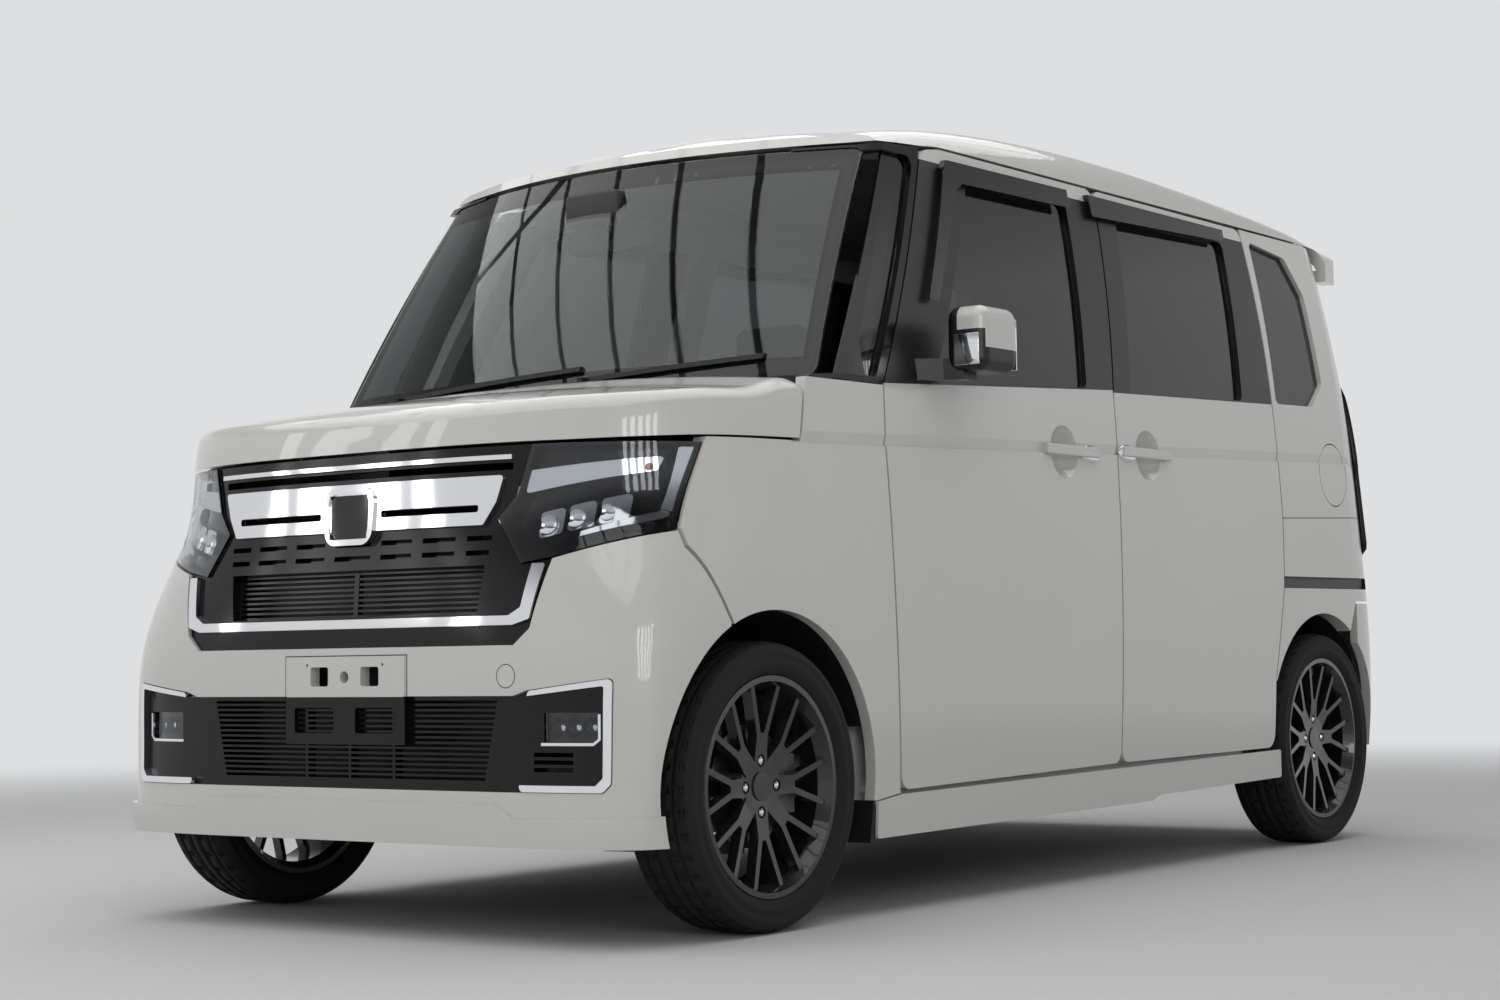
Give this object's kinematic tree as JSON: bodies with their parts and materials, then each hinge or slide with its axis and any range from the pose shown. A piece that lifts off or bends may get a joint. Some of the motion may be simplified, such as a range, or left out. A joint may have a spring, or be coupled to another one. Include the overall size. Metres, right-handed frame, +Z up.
{
  "type": "kei car",
  "caption": "Small tall one-box passenger car with hinged front doors, sliding rear doors, tailgate, hood and steered front wheels.",
  "frame": {"origin": "on the ground, below the middle of the car's box", "axes": "+X to the car's left side, +Y to the rear, +Z up"},
  "size_m": [1.724, 3.3965, 1.7899],
  "materials": {
    "paint": "pearl white clear-coated paint",
    "black_gloss": "gloss black",
    "black_plastic": "fine-grained black plastic",
    "cabin_plastic": "soft grained dark plastic",
    "chrome": "bright chrome plate",
    "clear_glass": "laminated glass with a faint green tint",
    "dark_glass": "dark tinted glass",
    "lamp_lens": "clear polished lamp cover",
    "tail_lens": "red lamp cover",
    "smoked_plastic": "smoked clear plastic",
    "tyre": "black rubber with a ribbed tread",
    "rim_black": "gloss black painted alloy",
    "steel": "dull steel",
    "underbody": "dark underbody coating",
    "castings": "rough cast metal",
    "radiator": "dark finned core",
    "seat_fabric": "dark woven seat cloth"
  },
  "bodies": {
    "root": {"floor_pan": "underbody", "bulkhead": "underbody", "front_rails": "underbody", "engine_block": "castings", "radiator": "radiator", "front_subframe": "underbody", "rear_axle": "underbody", "fuel_tank": "black_plastic", "exhaust": "steel", "side_frames": "paint", "front_pillars": "black_gloss", "roof_panel": "paint", "quarter_panel_left": "paint", "quarter_panel_right": "paint", "front_fenders": "paint", "sills": "paint", "cowl": "black_plastic", "wipers": "black_plastic", "windscreen": "clear_glass", "corner_glass": "dark_glass", "quarter_glass": "dark_glass", "sliding_doors": "paint", "sliding_door_glass": "dark_glass", "front_bumper": "paint", "grille": "black_gloss", "front_trim": "chrome", "headlamps": "lamp_lens", "lamp_housings": "black_gloss", "lamp_reflectors": "chrome", "sliding_visors": "smoked_plastic", "rear_bumper": "paint", "tail_lamps": "tail_lens", "arch_liners": "black_plastic", "dashboard": "cabin_plastic", "front_seats": "seat_fabric", "rear_seat": "seat_fabric"},
    "door_left": {"front_door_left": "paint", "front_door_left_glass": "dark_glass", "mirror_left": "paint", "visor_left": "smoked_plastic"},
    "door_right": {"front_door_right": "paint", "front_door_right_glass": "dark_glass", "mirror_right": "paint", "visor_right": "smoked_plastic"},
    "hood": {"hood": "paint"},
    "tailgate": {"tailgate": "paint", "tailgate_glass": "dark_glass"},
    "fuel_lid": {"fuel_lid": "paint"},
    "steering_wheel": {"steering_wheel": "cabin_plastic"},
    "knuckle_left": {"knuckle_left": "castings"},
    "knuckle_right": {"knuckle_right": "castings"},
    "wheel_front_left": {"tyre_front_left": "tyre", "rim_front_left": "rim_black"},
    "wheel_front_right": {"tyre_front_right": "tyre", "rim_front_right": "rim_black"},
    "wheel_rear_left": {"tyre_rear_left": "tyre", "rim_rear_left": "rim_black"},
    "wheel_rear_right": {"tyre_rear_right": "tyre", "rim_rear_right": "rim_black"}
  },
  "joints": [
    {"name": "steer_left", "type": "hinge", "parent": "root", "child": "knuckle_left", "pos_m": [0.62, -1.254, 0.175], "axis": [-0.2137, 0, 0.9769], "range_deg": [-35, 35]},
    {"name": "steer_right", "type": "hinge", "parent": "root", "child": "knuckle_right", "pos_m": [-0.62, -1.254, 0.175], "axis": [0.2137, 0, 0.9769], "range_deg": [-35, 35]},
    {"name": "steering_wheel_turn", "type": "hinge", "parent": "root", "child": "steering_wheel", "pos_m": [-0.315, -0.455, 0.985], "axis": [0, 0.8829, 0.4695], "range_deg": [-595, 595]},
    {"name": "door_left_hinge", "type": "hinge", "parent": "root", "child": "door_left", "pos_m": [0.739, -0.846, 0.6], "axis": [0, 0, -1], "range_deg": [0, 65]},
    {"name": "door_right_hinge", "type": "hinge", "parent": "root", "child": "door_right", "pos_m": [-0.739, -0.846, 0.6], "axis": [0, 0, 1], "range_deg": [0, 65]},
    {"name": "hood_hinge", "type": "hinge", "parent": "root", "child": "hood", "pos_m": [0, -1.095, 1.079], "axis": [-1, 0, 0], "range_deg": [0, 45]},
    {"name": "tailgate_hinge", "type": "hinge", "parent": "root", "child": "tailgate", "pos_m": [0, 1.551, 1.7315], "axis": [1, 0, 0], "range_deg": [0, 75]},
    {"name": "fuel_lid_hinge", "type": "hinge", "parent": "root", "child": "fuel_lid", "pos_m": [0.7345, 1.2855, 1], "axis": [0, 0, -1], "range_deg": [0, 85]},
    {"name": "spin_front_left", "type": "hinge", "parent": "knuckle_left", "child": "wheel_front_left", "pos_m": [0.6525, -1.254, 0.2815], "axis": [1, 0, 0], "continuous": true},
    {"name": "spin_front_right", "type": "hinge", "parent": "knuckle_right", "child": "wheel_front_right", "pos_m": [-0.6525, -1.254, 0.2815], "axis": [1, 0, 0], "continuous": true},
    {"name": "spin_rear_left", "type": "hinge", "parent": "root", "child": "wheel_rear_left", "pos_m": [0.6525, 1.266, 0.2815], "axis": [1, 0, 0], "continuous": true},
    {"name": "spin_rear_right", "type": "hinge", "parent": "root", "child": "wheel_rear_right", "pos_m": [-0.6525, 1.266, 0.2815], "axis": [1, 0, 0], "continuous": true}
  ],
  "couplings": [
    {"joint": "steer_right", "follows": "steer_left", "ratio": 1},
    {"joint": "steering_wheel_turn", "follows": "steer_left", "ratio": 17}
  ]
}
